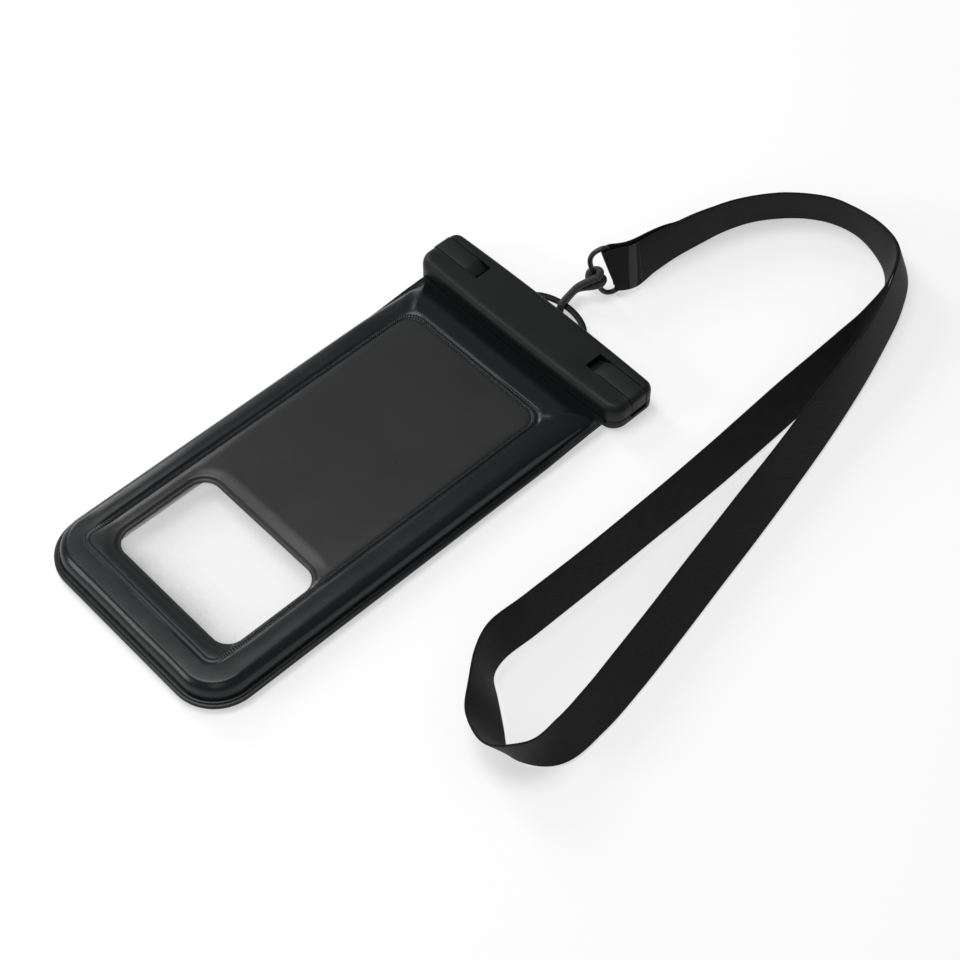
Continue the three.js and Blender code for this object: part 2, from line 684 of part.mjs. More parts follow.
add(pouch, 'front_frame', loftRings(FRONT_FRAME, true), BLACK_FILM);
add(pouch, 'front_screen', buildScreen(), CLEAR_FILM);
add(pouch, 'border_cushion', buildCushion(), SOFT_RUBBER);
add(pouch, 'back_sheet', buildBackSheet(), BLACK_FILM);
add(pouch, 'camera_window', buildWindowFilm(), CLEAR_FILM);
add(pouch, 'clip_lower_jaw', buildLowerJaw(), BLACK_SHELL);
add(pouch, 'clip_upper_jaw', buildUpperJaw(), BLACK_SHELL);
add(pouch, 'clip_seal', buildSeal(), SOFT_RUBBER);
add(pouch, 'latch_right', buildLatch(1), BLACK_SHELL);
add(pouch, 'latch_left', buildLatch(-1), BLACK_SHELL);
add(pouch, 'latch_pin_right', buildPin(1), STEEL);
add(pouch, 'latch_pin_left', buildPin(-1), STEEL);
add(lanyard, 'd_ring', buildRing(), DARK_METAL);
add(lanyard, 'tether', closedTube(TETHER_ROUTE, TETHER_DIAMETER / 2, 110), FABRIC);
add(lanyard, 'strap', buildStrap(), FABRIC);

export default root;
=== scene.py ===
"""Looks for a waterproof phone pouch with a snap-lock clip and a neck strap.

Metres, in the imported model's frame: X across the clip, +Y towards the clip, +Z up.
Sizes are written in millimetres and multiplied by MM.
"""
import math

import bmesh
import bpy
import numpy as np
from mathutils import Matrix, Vector, noise
from mathutils.geometry import delaunay_2d_cdt


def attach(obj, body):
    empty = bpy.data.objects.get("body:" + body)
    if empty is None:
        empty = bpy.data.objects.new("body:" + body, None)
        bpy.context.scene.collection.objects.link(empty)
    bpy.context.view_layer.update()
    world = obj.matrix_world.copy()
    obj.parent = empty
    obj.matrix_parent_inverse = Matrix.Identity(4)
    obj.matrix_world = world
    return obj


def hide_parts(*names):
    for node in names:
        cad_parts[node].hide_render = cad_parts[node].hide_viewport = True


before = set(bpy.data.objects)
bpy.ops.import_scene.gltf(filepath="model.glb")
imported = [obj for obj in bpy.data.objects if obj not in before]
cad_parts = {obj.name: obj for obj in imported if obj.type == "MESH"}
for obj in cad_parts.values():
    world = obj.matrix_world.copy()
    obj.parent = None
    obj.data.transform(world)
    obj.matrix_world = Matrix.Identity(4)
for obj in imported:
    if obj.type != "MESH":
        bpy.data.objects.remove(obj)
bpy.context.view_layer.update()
MM = 0.001
CENTRE_Y = 117.6  # the part's origin, from the pouch's bottom edge

# Pouch, in millimetres from its middle and its bottom edge

POUCH_HALF = 53.0
POUCH_CORNER = 19.0
TONGUE_END = 214.0
MOUTH_Y = 201.0
WINDOW = (-31.6, 36.0, 22.3, 67.5)
WINDOW_CORNER = 7.5
WINDOW_FILM = (-38.4, 38.4, 19.6, 70.4)
SCREEN_FILM = (-40, 40, 13, 183.5)

# Camera

CAMERA_AT = Vector((0.3961, -0.3079, 0.6618))
LOOK = Vector((-0.4344, 0.4101, -0.8019)).normalized()
RIGHT = Vector((0.6865, 0.7271, 0.0)).normalized()
LENS = 78.84
SENSOR = 36.0
FARTHEST = 20.0

camera_data = bpy.data.cameras.new("camera")
camera_data.lens = LENS
camera_data.sensor_width = SENSOR
camera_data.clip_end = FARTHEST
camera = bpy.data.objects.new("camera", camera_data)
bpy.context.scene.collection.objects.link(camera)
up = RIGHT.cross(LOOK)
turn = Matrix((RIGHT, up, -LOOK)).transposed()
camera.matrix_world = Matrix.Translation(CAMERA_AT) @ turn.to_4x4()
bpy.context.scene.camera = camera


# Mesh helpers

def smoothstep(x, low, high):
    t = min(max((x - low) / (high - low), 0.0), 1.0)
    return t * t * (3 - 2 * t)


def squared(value):
    """Pushes a sine or cosine outwards, which turns a circle into a squarer arch."""
    return math.copysign(abs(value) ** 0.5, value)


def make(name, points, faces, mat, uvs=None, angle=None):
    """A mesh object from points in millimetres; faces may be quads or triangles."""
    mesh = bpy.data.meshes.new(name)
    mesh.from_pydata([tuple(c * MM for c in p) for p in points], [], faces)
    mesh.validate()
    if uvs is not None:
        layer = mesh.uv_layers.new(name="UVMap")
        loops = np.empty(len(mesh.loops), dtype=np.int32)
        mesh.loops.foreach_get("vertex_index", loops)
        flat = np.array(uvs, dtype=np.float32)[loops]
        layer.data.foreach_set("uv", flat.ravel())
    mesh.polygons.foreach_set("use_smooth", [True] * len(mesh.polygons))
    mesh.update()
    obj = bpy.data.objects.new(name, mesh)
    bpy.context.scene.collection.objects.link(obj)
    bm = bmesh.new()
    bm.from_mesh(mesh)
    bmesh.ops.recalc_face_normals(bm, faces=bm.faces)
    bm.to_mesh(mesh)
    bm.free()
    if angle is not None:
        mesh.set_sharp_from_angle(angle=math.radians(angle))
    mesh.materials.append(mat)
    return obj


def apply_modifiers(obj):
    graph = bpy.context.evaluated_depsgraph_get()
    mesh = bpy.data.meshes.new_from_object(obj.evaluated_get(graph))
    old = obj.data
    obj.modifiers.clear()
    obj.data = mesh
    bpy.data.meshes.remove(old)


def carve(obj, cutters, angle=None):
    """Cuts the cutter objects out of obj and removes them."""
    for cutter in cutters:
        mod = obj.modifiers.new("carve", "BOOLEAN")
        mod.operation = "DIFFERENCE"
        mod.solver = "EXACT"
        mod.object = cutter
    apply_modifiers(obj)
    for cutter in cutters:
        bpy.data.objects.remove(cutter)
    if angle is not None:
        obj.data.set_sharp_from_angle(angle=math.radians(angle))


def join_seam(obj):
    """Joins the doubled points where a closed sweep meets itself."""
    bm = bmesh.new()
    bm.from_mesh(obj.data)
    bmesh.ops.remove_doubles(bm, verts=bm.verts, dist=1e-7)
    bm.to_mesh(obj.data)
    bm.free()


def loft_faces(rows, n, closed=False):
    """Quads between rows of n points each; closed joins the last row to the first."""
    faces = []
    for r in range(rows if closed else rows - 1):
        q = (r + 1) % rows
        for i in range(n):
            j = (i + 1) % n
            faces.append((r * n + i, r * n + j, q * n + j, q * n + i))
    return faces


def round_box(x0, x1, y0, y1, near, far, arc=12, side_steps=1, end_steps=1, bow=0.0):
    """Plan outline of a rectangle with a radius for its near and its far corners.

    The sides, and the near and far edges, may be split into steps. A bow curves those edges outwards.
    """
    corners = [(x1 - near, y0 + near, near, -90), (x1 - far, y1 - far, far, 0),
               (x0 + far, y1 - far, far, 90), (x0 + near, y0 + near, near, 180)]
    stretches = [(side_steps, 0), (end_steps, bow), (side_steps, 0), (end_steps, -bow)]
    outline = []
    for c, (cx, cy, radius, start) in enumerate(corners):
        for i in range(arc + 1):
            a = math.radians(start + 90 * i / arc)
            outline.append((cx + radius * math.cos(a), cy + radius * math.sin(a)))
        x, y = outline[-1]
        next_x, next_y, next_radius, next_start = corners[(c + 1) % 4]
        a = math.radians(next_start)
        dx = next_x + next_radius * math.cos(a) - x
        dy = next_y + next_radius * math.sin(a) - y
        steps, out = stretches[c]
        for i in range(1, steps):
            t = i / steps
            outline.append((x + dx * t, y + dy * t + 4 * t * (1 - t) * out))
    return outline


def catmull(points, per, closed):
    """A smooth curve through the points (any dimension), `per` samples a span."""
    pts = [np.array(p, float) for p in points]
    n = len(pts)
    out = []
    spans = n if closed else n - 1
    for i in range(spans):
        if closed:
            p0, p1, p2, p3 = (pts[(i + k - 1) % n] for k in range(4))
        else:
            p0, p1, p2, p3 = (pts[min(max(i + k - 1, 0), n - 1)] for k in range(4))
        t1 = max(np.linalg.norm((p1 - p0)[:3]), 1e-6) ** 0.5
        t2 = max(np.linalg.norm((p2 - p1)[:3]), 1e-6) ** 0.5
        t3 = max(np.linalg.norm((p3 - p2)[:3]), 1e-6) ** 0.5
        m1 = (p2 - p1) / t2
        m2 = (p2 - p1) / t2
        if closed or i > 0:
            m1 = (p1 - p0) / t1 - (p2 - p0) / (t1 + t2) + (p2 - p1) / t2
        if closed or i < n - 2:
            m2 = (p2 - p1) / t2 - (p3 - p1) / (t2 + t3) + (p3 - p2) / t3
        for k in range(per):
            u = k / per
            h00, h10 = 2 * u**3 - 3 * u**2 + 1, u**3 - 2 * u**2 + u
            h01, h11 = -2 * u**3 + 3 * u**2, u**3 - u**2
            out.append(h00 * p1 + h10 * t2 * m1 + h01 * p2 + h11 * t2 * m2)
    if not closed:
        out.append(pts[-1])
    return out


# Materials

BORDER_BLACK = (0.0052, 0.0062, 0.0072)
PANEL_BLACK = (0.0205, 0.0207, 0.0207)
PANEL_FADE = (15.2, 16.6)  # from the border's colour to the panel's, in from the pouch's edge
PANEL_LOW = (16.6, 25.6)  # the panel's colour also fades in above these heights
WELD_LINE = 14.4
WELD_FADE = (17.6, 32.6)
BEAD_PITCH = 1.1
SHELL_BLACK = (0.0035, 0.0043, 0.0041)
# painted highlight: the lighter colour given to the clip's sharp edges
SHELL_EDGE_HIGHLIGHT = (0.016, 0.017, 0.0166)
THREAD_DARK = (0.0022, 0.0026, 0.0027)
THREAD_LIGHT = (0.006, 0.0064, 0.0066)
TWILL_PITCH = 1.1
RIB_PITCH = 0.55
RIBBON_WELD = (12.5, 16.8)  # the pressed weld's start and end along the ribbon
RIBBON_LINE = 18.8  # a thin pressed line beside it
RIBBON_PRESSED = (0.03, 0.031, 0.031)
BRAID_PITCH = 1.6
BRAID_STRANDS = 6
# painted shade on the window film: its grey, its alpha and its widths at the left and lower edges
EDGE_SHADE_GREY = (0.3, 0.31, 0.3)
EDGE_SHADE_ALPHA = 0.45
SHADE_WIDTH_LEFT = 7.0
SHADE_WIDTH_LOW = 15.5
FLOOR_WHITE = (0.98, 0.98, 0.98)
FLOOR_GLOW = 0.5  # the share of plain white in what the camera sees of the floor


def material(name, colour, roughness, metallic=0.0, specular=0.5):
    mat = bpy.data.materials.new(name)
    mat.use_nodes = True
    shader = mat.node_tree.nodes["Principled BSDF"]
    shader.inputs["Base Color"].default_value = (*colour, 1.0)
    shader.inputs["Roughness"].default_value = roughness
    shader.inputs["Metallic"].default_value = metallic
    shader.inputs["Specular IOR Level"].default_value = specular
    return mat, mat.node_tree, shader


def node(tree, kind, **values):
    made = tree.nodes.new(kind)
    for key, value in values.items():
        setattr(made, key, value)
    return made


def noise_tex(tree, scale, detail=4.0):
    where = node(tree, "ShaderNodeTexCoord")
    tex = node(tree, "ShaderNodeTexNoise")
    tex.inputs["Scale"].default_value = scale
    tex.inputs["Detail"].default_value = detail
    tree.links.new(where.outputs["Object"], tex.inputs["Vector"])
    return tex.outputs["Fac"]


def split_xy(tree, kind, output):
    """X and Y of a coordinate node's output."""
    split = node(tree, "ShaderNodeSeparateXYZ")
    tree.links.new(node(tree, kind).outputs[output], split.inputs["Vector"])
    return split.outputs["X"], split.outputs["Y"]


def remap(tree, value, low, high, to_low, to_high):
    ramp = node(tree, "ShaderNodeMapRange")
    for key, number in (("From Min", low), ("From Max", high), ("To Min", to_low), ("To Max", to_high)):
        ramp.inputs[key].default_value = number
    tree.links.new(value, ramp.inputs["Value"])
    return ramp.outputs["Result"]


def vary(tree, noisy, to_low, to_high):
    """Spreads a noise, which mostly keeps to 0.3 to 0.7, over another range."""
    return remap(tree, noisy, 0.3, 0.7, to_low, to_high)


def math_node(tree, operation, a, b=None):
    made = node(tree, "ShaderNodeMath", operation=operation)
    for i, value in enumerate((a, b)):
        if value is None:
            continue
        if isinstance(value, (int, float)):
            made.inputs[i].default_value = value
        else:
            tree.links.new(value, made.inputs[i])
    return made.outputs[0]


def wave(tree, value, pitch):
    """A sine wave over a length in metres, with its pitch in millimetres."""
    return math_node(tree, "SINE", math_node(tree, "MULTIPLY", value, 2 * math.pi / (pitch * MM)))


def off_line(tree, value, line):
    """How far a length in metres is from a line, which is given in millimetres."""
    return math_node(tree, "ABSOLUTE", math_node(tree, "SUBTRACT", value, line * MM))


def fade(tree, value, start, end, to_start, to_end):
    """A remap of a length in metres, with its start and end in millimetres."""
    return remap(tree, value, start * MM, end * MM, to_start, to_end)


def bump(tree, shader, heights):
    """Chains bumps: each height is (socket, depth in millimetres, strength)."""
    last = None
    for height, depth, strength in heights:
        made = node(tree, "ShaderNodeBump")
        made.inputs["Distance"].default_value = depth * MM
        made.inputs["Strength"].default_value = strength
        tree.links.new(height, made.inputs["Height"])
        if last is not None:
            tree.links.new(last, made.inputs["Normal"])
        last = made.outputs["Normal"]
    tree.links.new(last, shader.inputs["Normal"])


def mix_colour(tree, factor, a, b):
    """Mixes from a to the colour b; a is a colour or a colour socket."""
    made = node(tree, "ShaderNodeMix", data_type="RGBA")
    if isinstance(a, tuple):
        made.inputs[6].default_value = (*a, 1.0)
    else:
        tree.links.new(a, made.inputs[6])
    made.inputs[7].default_value = (*b, 1.0)
    tree.links.new(factor, made.inputs[0])
    return made.outputs[2]


def film_material():
    """Black PVC: slow colour and gloss changes, fine grain, and beads on the weld.

    U runs in from the pouch's edge and V along the weld, both in metres.
    """
    mat, tree, shader = material("black_pvc", BORDER_BLACK, 0.29, specular=0.28)
    slow = noise_tex(tree, 38.0, 3.0)
    fine = noise_tex(tree, 2600.0, 3.0)
    tree.links.new(vary(tree, slow, 0.27, 0.31), shader.inputs["Roughness"])
    inward, along = split_xy(tree, "ShaderNodeUVMap", "UV")
    _, y = split_xy(tree, "ShaderNodeTexCoord", "Object")
    panel = fade(tree, inward, *PANEL_FADE, 0.0, 1.0)
    above = fade(tree, y, *(edge - CENTRE_Y for edge in PANEL_LOW), 0.2, 1.0)
    upper_panel = math_node(tree, "MULTIPLY", panel, above)
    shade = math_node(tree, "MULTIPLY", upper_panel, vary(tree, slow, 0.88, 1.0))
    tree.links.new(mix_colour(tree, shade, BORDER_BLACK, PANEL_BLACK), shader.inputs["Base Color"])
    strong = fade(tree, y, *(edge - CENTRE_Y for edge in WELD_FADE), 0.0, 1.0)
    near_line = fade(tree, off_line(tree, inward, WELD_LINE), 0.4, 0.9, 1.0, 0.0)
    band = math_node(tree, "MULTIPLY", strong, near_line)
    beads = math_node(tree, "MULTIPLY", band, wave(tree, along, BEAD_PITCH))
    bump(tree, shader, [(slow, 1.1, 0.12), (fine, 0.02, 0.5), (beads, 0.16, 0.8)])
    return mat


def shell_material():
    """Moulded black plastic with a fine spark-eroded grain and a painted highlight on its sharp edges."""
    mat, tree, shader = material("moulded_black", SHELL_BLACK, 0.5, specular=0.2)
    slow = noise_tex(tree, 60.0, 3.0)
    grain = noise_tex(tree, 3200.0, 2.0)
    tree.links.new(vary(tree, slow, 0.44, 0.56), shader.inputs["Roughness"])
    geometry = node(tree, "ShaderNodeNewGeometry")
    # Painted highlight: sharp edges, found by pointiness, get the lighter colour.
    edge = remap(tree, geometry.outputs["Pointiness"], 0.5, 0.56, 0.0, 0.6)
    tree.links.new(mix_colour(tree, edge, SHELL_BLACK, SHELL_EDGE_HIGHLIGHT), shader.inputs["Base Color"])
    bump(tree, shader, [(grain, 0.03, 0.6)])
    return mat


def ribbon_material():
    """Woven ribbon with its pressed weld. U runs across it and V along it, both in metres."""
    mat, tree, shader = material("woven_ribbon", THREAD_LIGHT, 0.7, specular=0.2)
    shader.inputs["Sheen Weight"].default_value = 0.05
    shader.inputs["Sheen Roughness"].default_value = 0.4
    u, v = split_xy(tree, "ShaderNodeUVMap", "UV")
    slant = math_node(tree, "ADD", math_node(tree, "MULTIPLY", u, 1.2), v)
    twill = math_node(tree, "MULTIPLY", wave(tree, slant, TWILL_PITCH), 0.7)
    ribs = math_node(tree, "MULTIPLY", wave(tree, v, RIB_PITCH), 0.3)
    threads = math_node(tree, "ADD", twill, ribs)
    woven = mix_colour(tree, remap(tree, threads, -1.0, 1.0, 0.0, 1.0), THREAD_DARK, THREAD_LIGHT)
    slow = noise_tex(tree, 90.0, 3.0)
    selvedge = fade(tree, math_node(tree, "ABSOLUTE", u), 8.6, 9.2, 0.0, 1.0)
    start, end = RIBBON_WELD
    half = (end - start) / 2
    # The weld is wider at the ribbon's top edge than at the bottom.
    wider = math_node(tree, "MULTIPLY", u, 0.09)
    off = math_node(tree, "SUBTRACT", off_line(tree, v, (start + end) / 2), wider)
    weld = fade(tree, off, half - 0.3, half + 0.1, 1.0, 0.0)
    line = fade(tree, off_line(tree, v, RIBBON_LINE), 0.1, 0.5, 1.0, 0.0)
    pressed = math_node(tree, "MAXIMUM", weld, math_node(tree, "MULTIPLY", line, 0.6))
    tree.links.new(mix_colour(tree, pressed, woven, RIBBON_PRESSED), shader.inputs["Base Color"])
    tree.links.new(remap(tree, weld, 0.0, 1.0, 0.7, 0.42), shader.inputs["Roughness"])
    sunk = math_node(tree, "MULTIPLY", pressed, -1.0)
    bump(tree, shader, [(slow, 0.6, 0.3), (threads, 0.09, 0.6), (selvedge, 0.12, 0.5), (sunk, 0.3, 0.8)])
    return mat


def cord_material():
    """Round braided cord. U runs once round it, from 0 to 1, and V along it in metres."""
    mat, tree, shader = material("braided_cord", (0.009, 0.0095, 0.0095), 0.62)
    shader.inputs["Sheen Weight"].default_value = 0.1
    u, v = split_xy(tree, "ShaderNodeUVMap", "UV")
    around = math_node(tree, "MULTIPLY", u, 2 * math.pi * BRAID_STRANDS)
    along = math_node(tree, "MULTIPLY", v, 2 * math.pi / (BRAID_PITCH * MM))
    one = math_node(tree, "SINE", math_node(tree, "ADD", around, along))
    two = math_node(tree, "SINE", math_node(tree, "SUBTRACT", around, along))
    bump(tree, shader, [(math_node(tree, "MAXIMUM", one, two), 0.12, 0.7)])
    return mat


def clear_material(name, alpha, haze, shaded_edges=None):
    """Clear film with a soft unevenness.

    It has a painted shade along its left and its lower edge, greyer and less clear there; the X and Y given
    are those two edges.
    """
    mat, tree, shader = material(name, haze, 0.24, specular=0.3)
    shader.inputs["Alpha"].default_value = alpha
    slow = noise_tex(tree, 45.0, 2.0)
    bump(tree, shader, [(slow, 0.8, 0.2)])
    if shaded_edges is not None:
        x0, y0 = shaded_edges
        # Painted shade: greyer and less clear towards the left and the lower edge.
        x, y = split_xy(tree, "ShaderNodeTexCoord", "Object")
        left = fade(tree, x, x0, x0 + SHADE_WIDTH_LEFT, 0.7, 0.0)
        low = fade(tree, y, y0, y0 + SHADE_WIDTH_LOW, 1.0, 0.0)
        edge = math_node(tree, "POWER", math_node(tree, "MAXIMUM", left, low), 1.4)
        shade = math_node(tree, "MULTIPLY", edge, vary(tree, slow, 0.6, 1.0))
        tree.links.new(mix_colour(tree, shade, haze, EDGE_SHADE_GREY), shader.inputs["Base Color"])
        tree.links.new(remap(tree, shade, 0.0, 1.0, alpha, EDGE_SHADE_ALPHA), shader.inputs["Alpha"])
    return mat


def grained_material(name, colour, roughness, metallic, scale, depth, strength):
    """A plain material with an even grain."""
    mat, tree, shader = material(name, colour, roughness, metallic)
    bump(tree, shader, [(noise_tex(tree, scale), depth, strength)])
    return mat


def floor_material():
    """White floor that the camera, also through or off the films, sees part lit and part plain white."""
    mat, tree, shader = material("floor_white", FLOOR_WHITE, 0.9, specular=0.0)
    path = node(tree, "ShaderNodeLightPath")
    film_rays = math_node(tree, "MAXIMUM", path.outputs["Is Glossy Ray"], path.outputs["Is Transmission Ray"])
    seen = math_node(tree, "MAXIMUM", path.outputs["Is Camera Ray"], film_rays)
    glow = node(tree, "ShaderNodeEmission")
    glow.inputs["Strength"].default_value = 1.0
    mixed = node(tree, "ShaderNodeMixShader")
    tree.links.new(math_node(tree, "MULTIPLY", seen, FLOOR_GLOW), mixed.inputs[0])
    tree.links.new(shader.outputs[0], mixed.inputs[1])
    tree.links.new(glow.outputs[0], mixed.inputs[2])
    tree.links.new(mixed.outputs[0], tree.nodes["Material Output"].inputs["Surface"])
    return mat


BLACK_PVC = film_material()
SHELL = shell_material()
RIBBON = ribbon_material()
CORD = cord_material()
CLEAR = clear_material("clear_pvc", 0.07, (0.95, 0.96, 0.95), shaded_edges=(WINDOW[0], WINDOW[2] - CENTRE_Y))
SCREEN = clear_material("clear_screen", 0.06, (0.9, 0.91, 0.91))
STEEL = grained_material("steel_pin", (0.55, 0.55, 0.56), 0.35, 1.0, 900.0, 0.03, 0.4)
WIRE = grained_material("black_wire", (0.012, 0.0125, 0.013), 0.34, 0.2, 500.0, 0.04, 0.4)
RUBBER = grained_material("soft_rubber", (0.03, 0.03, 0.032), 0.75, 0.0, 800.0, 0.06, 0.5)
PLATE = floor_material()

# Strap and tether: the part's own routes

RING_AT = Vector((2.2, 140.5, 12.7))
RING_ALONG = Vector((-0.35, -0.145, 0.926)).normalized()
RING_OUT = Vector((-0.348, -0.897, -0.272)).normalized()
RING_FACE = RING_ALONG.cross(RING_OUT).normalized()
RING_HALF = 11.3
RING_DEPTH = 8.8
RING_BAR = 10.4
RING_WIRE = 2.2
TETHER_RADIUS = 1.5
HITCH = 2.95
HITCH_AT = -0.8
STRAP_WIDTH = 20.0
STRAP_THICK = 0.9
STRAP_GAP = 0.6  # between the ribbon and the ring's bar

# Each row: X, Y, Z and the lean in degrees. Six leans in the top bend are the scene's own.
STRAP_ROUTE = [
    (6.9, 146.9, 11.6, 18.5), (7.1, 159, 10.8, 11), (8.5, 172.2, 10.6, 4), (10.5, 184.3, 10.6, 1),
    (13.6, 197.4, 10.6, -4), (18.7, 209.6, 10.5, -9), (25.4, 219.4, 10.5, -11), (33.5, 227.6, 10.4, -13),
    (42.9, 233.3, 10.4, -13), (54, 235.6, 10.4, -12), (67, 233.9, 10.6, -4), (78.5, 228.6, 10.6, 5),
    (88, 213.6, 10.5, 4), (94.3, 192.6, 10.4, -9), (96.4, 177.2, 10, -20), (97.5, 159.1, 9.7, -25),
    (98.2, 141.1, 9.6, -27), (99.4, 115.1, 9.6, -26), (100.4, 90.1, 9.8, -24), (100.9, 66, 10, -21.5),
    (101.1, 42, 10, -20), (101.1, 19, 10, -20), (100.8, -4, 10, -20.5), (100.6, -21.1, 10, -20.5),
    (104.6, -30.6, 10.1, -19.7), (112.2, -38.3, 9.1, -32.1), (120.6, -45.7, 7.9, -43.5),
    (131.9, -51, 9.2, -31), (141.2, -45.7, 10.5, -8.4), (146.4, -32.9, 9.9, 22.9),
    (145.3, -14.1, 9.1, 32.5), (141.9, 6, 8.7, 36.8), (138, 26, 8.5, 37.9), (133.5, 47.9, 8.5, 38.7),
    (129, 70, 8.5, 38.5), (124.5, 92.1, 8.5, 38.4), (119.6, 116.1, 8.8, 35.6), (114.2, 140, 8.9, 34),
    (108.7, 164.2, 9.5, 28), (101.8, 190.2, 10, 20), (92.3, 215.7, 10.4, 19), (82.5, 231.6, 10.4, 19),
    (69, 239.6, 9.6, 27), (54, 241.2, 9.1, 32), (40, 238.4, 8.9, 34), (29, 231.6, 8.9, 34),
    (19, 222, 8.9, 34), (13.4, 210.6, 9, 33), (7.2, 198.1, 9.2, 31), (3.7, 184.7, 9.5, 28),
    (2.4, 172, 9.9, 22), (4.6, 159.8, 10.8, -7), (4.3, 148.6, 11.6, -18.5),
]


def by_ring(along, out, face=0.0):
    return RING_AT + along * RING_ALONG + out * RING_OUT + face * RING_FACE


def hitch(along, degrees):
    a = math.radians(degrees)
    return by_ring(HITCH_AT + along, RING_DEPTH + HITCH * math.cos(a), HITCH * math.sin(a))


TETHER_ROUTE = [Vector(p) for p in (
    (-1.2, 113.1, 4.3), (-1.7, 113.9, 6.3), (-2.2, 116.3, 6.9), (-2.8, 120.5, 7.3), (-2.8, 125, 8.4))]
TETHER_ROUTE += [hitch(*p) for p in (
    (1.9, 60), (2, 110), (2, 160), (2, 205), (2, 250), (1.8, 292), (0, 325),
    (-1.8, 292), (-2, 250), (-2, 205), (-2, 160), (-2, 110), (-1.9, 60))]
TETHER_ROUTE += [Vector(p) for p in (
    (-4, 125.6, 5.2), (-4.6, 122, 3.4), (-4.5, 118.8, 1.75), (-4, 116.3, 1.6), (-2.7, 113.9, 1.8))]


def strap_rows():
    """Rows round the whole loop: centre and the direction across the ribbon."""
    around = RING_WIRE / 2 + STRAP_GAP + STRAP_THICK / 2
    rows = []
    for degrees in (-80, -50, -20, 20, 50, 80):
        a = math.radians(degrees)
        rows.append((by_ring(0, around * math.cos(a), around * math.sin(a)), RING_ALONG))
    for i, (x, y, z, lean) in enumerate(STRAP_ROUTE):
        before = STRAP_ROUTE[max(i - 1, 0)]
        after = STRAP_ROUTE[min(i + 1, len(STRAP_ROUTE) - 1)]
        heading = Vector((after[0] - before[0], after[1] - before[1])).normalized()
        a = math.radians(lean)
        across = Vector((-heading.y * math.sin(a), heading.x * math.sin(a), math.cos(a)))
        rows.append((Vector((x, y, z)), across))
    return rows


def ribbon_section():
    """Points round the ribbon's section, thinner at its two selvedges."""
    half, thick = STRAP_WIDTH / 2, STRAP_THICK / 2
    top = []
    for u in (-1.0, -0.975, -0.9, -0.6, -0.2, 0.2, 0.6, 0.9, 0.975, 1.0):
        share = 0.45 if abs(u) == 1 else 0.85 if abs(u) > 0.97 else 1.0
        top.append((u * half, thick * share))
    return top + [(u, -t) for u, t in reversed(top)]


def build_strap():
    """Ribbon with rounded selvedges, slightly cupped and rippled, swept along its rows."""
    per = 12
    smooth = catmull([(*c, *across) for c, across in strap_rows()], per, True)
    centres = [p[:3] for p in smooth]
    count = len(centres)
    section = ribbon_section()
    points, uvs = [], []
    length = 0.0
    # One more row than the loop has, so that the last face ring has its own coordinates.
    for i in range(count + 1):
        centre = Vector(centres[i % count])
        tangent = (Vector(centres[(i + 1) % count]) - Vector(centres[(i - 1) % count])).normalized()
        across = Vector(smooth[i % count][3:])
        across = (across - across.dot(tangent) * tangent).normalized()
        face = tangent.cross(across)
        if i:
            length += (centre - Vector(centres[i - 1])).length
        ripple = 0.1 * noise.noise(Vector((length * 0.05, 0, 7.3)))
        for u, t in section:
            cup = 0.12 * (1 - (2 * u / STRAP_WIDTH) ** 2) + ripple
            p = centre + u * across + (t + cup) * face
            points.append((p.x, p.y, max(p.z, 0.02)))
            uvs.append((u * MM, length * MM))
    strap = make("neck_strap", points, loft_faces(count + 1, len(section)), RIBBON, uvs=uvs)
    join_seam(strap)
    path = [tuple(Vector(centres[i]) * MM) for i in range(per, count, 4)]
    return strap, path, length


def tube(name, points, radius, per, sides, mat):
    """A round tube along a closed curve, with U round it and V along it."""
    centres = [Vector(c) for c in catmull([tuple(p) for p in points], per, True)]
    count = len(centres)
    normal = (centres[1] - centres[-1]).normalized().orthogonal().normalized()
    turns = []
    for i in range(count):
        axis = (centres[(i + 1) % count] - centres[i - 1]).normalized()
        normal = (normal - normal.dot(axis) * axis).normalized()
        turns.append((axis, normal.copy()))
    # Spread the closing twist along the tube.
    axis, first = turns[0]
    end = (normal - normal.dot(axis) * axis).normalized()
    twist = math.atan2(axis.dot(end.cross(first)), end.dot(first))
    verts, uvs, faces = [], [], []
    length = 0.0
    for i in range(count + 1):
        axis, start = turns[i % count]
        across = Matrix.Rotation(twist * (i % count) / count, 3, axis) @ start
        side = axis.cross(across)
        if i:
            length += (centres[i % count] - centres[i - 1]).length
        for k in range(sides + 1):
            a = 2 * math.pi * k / sides
            verts.append(tuple(centres[i % count] + radius * (math.cos(a) * across + math.sin(a) * side)))
            uvs.append((k / sides, length * MM))
    row = sides + 1
    for i in range(count):
        for k in range(sides):
            a = i * row + k
            faces.append((a, a + 1, a + 1 + row, a + row))
    obj = make(name, verts, faces, mat, uvs=uvs)
    join_seam(obj)
    return obj, centres, length


strap, strap_path, strap_length = build_strap()
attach(strap, "root")
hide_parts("strap")

# The ring's straight bar, then a squared arch back to its start.
ring_points = [by_ring(a * RING_BAR, 0) for a in (-1, -0.5, 0, 0.5, 1)]
for degrees in range(12, 169, 12):
    a = math.radians(degrees)
    ring_points.append(by_ring(RING_HALF * squared(math.cos(a)), RING_DEPTH * squared(math.sin(a))))
d_ring, _, _ = tube("wire_d_ring", ring_points, RING_WIRE / 2, 6, 20, WIRE)
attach(d_ring, "root")
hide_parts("d_ring")

tether, tether_centres, tether_length = tube("tether_cord", TETHER_ROUTE, TETHER_RADIUS, 8, 16, CORD)
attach(tether, "root")
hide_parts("tether")

# Pouch films

